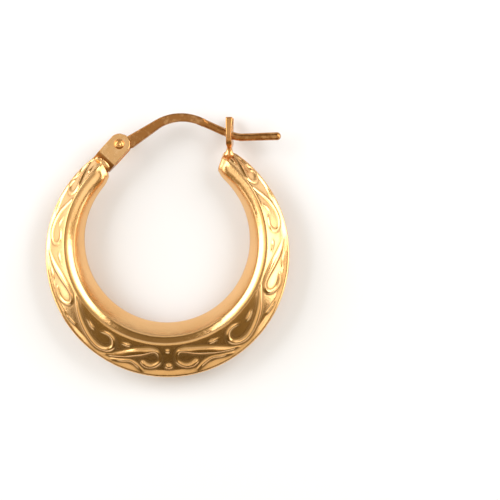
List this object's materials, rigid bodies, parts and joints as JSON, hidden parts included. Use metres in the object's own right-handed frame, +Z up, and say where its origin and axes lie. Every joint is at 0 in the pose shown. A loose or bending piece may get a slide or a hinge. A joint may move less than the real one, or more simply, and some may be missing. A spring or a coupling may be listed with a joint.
{
  "type": "creole hoop earring",
  "caption": "Hollow hinged creole hoop earring with raised scrollwork on its bevelled faces; the ear wire swings on a rivet and rests in a forked catch.",
  "frame": {"origin": "on the surface the hoop lies on, straight under the middle of its outline seen from above", "axes": "+Z up along the hoop's axis, +Y from the lowest point of the worn hoop towards the ear wire, +X from the hinge side towards the catch"},
  "size_m": [0.024, 0.026, 0.0044],
  "materials": {
    "polished_gold": "polished",
    "wire_gold": "polished",
    "rivet_gold": "polished"
  },
  "bodies": {
    "hoop": {"hoop": "polished_gold", "hinge_rivet": "rivet_gold"},
    "ear_wire": {"ear_wire": "wire_gold"}
  },
  "joints": [
    {"name": "wire_hinge", "type": "hinge", "parent": "hoop", "child": "ear_wire", "pos_m": [-0.00464, 0.0099, 0.00222], "axis": [0, 0, 1], "range_deg": [0, 95]}
  ]
}
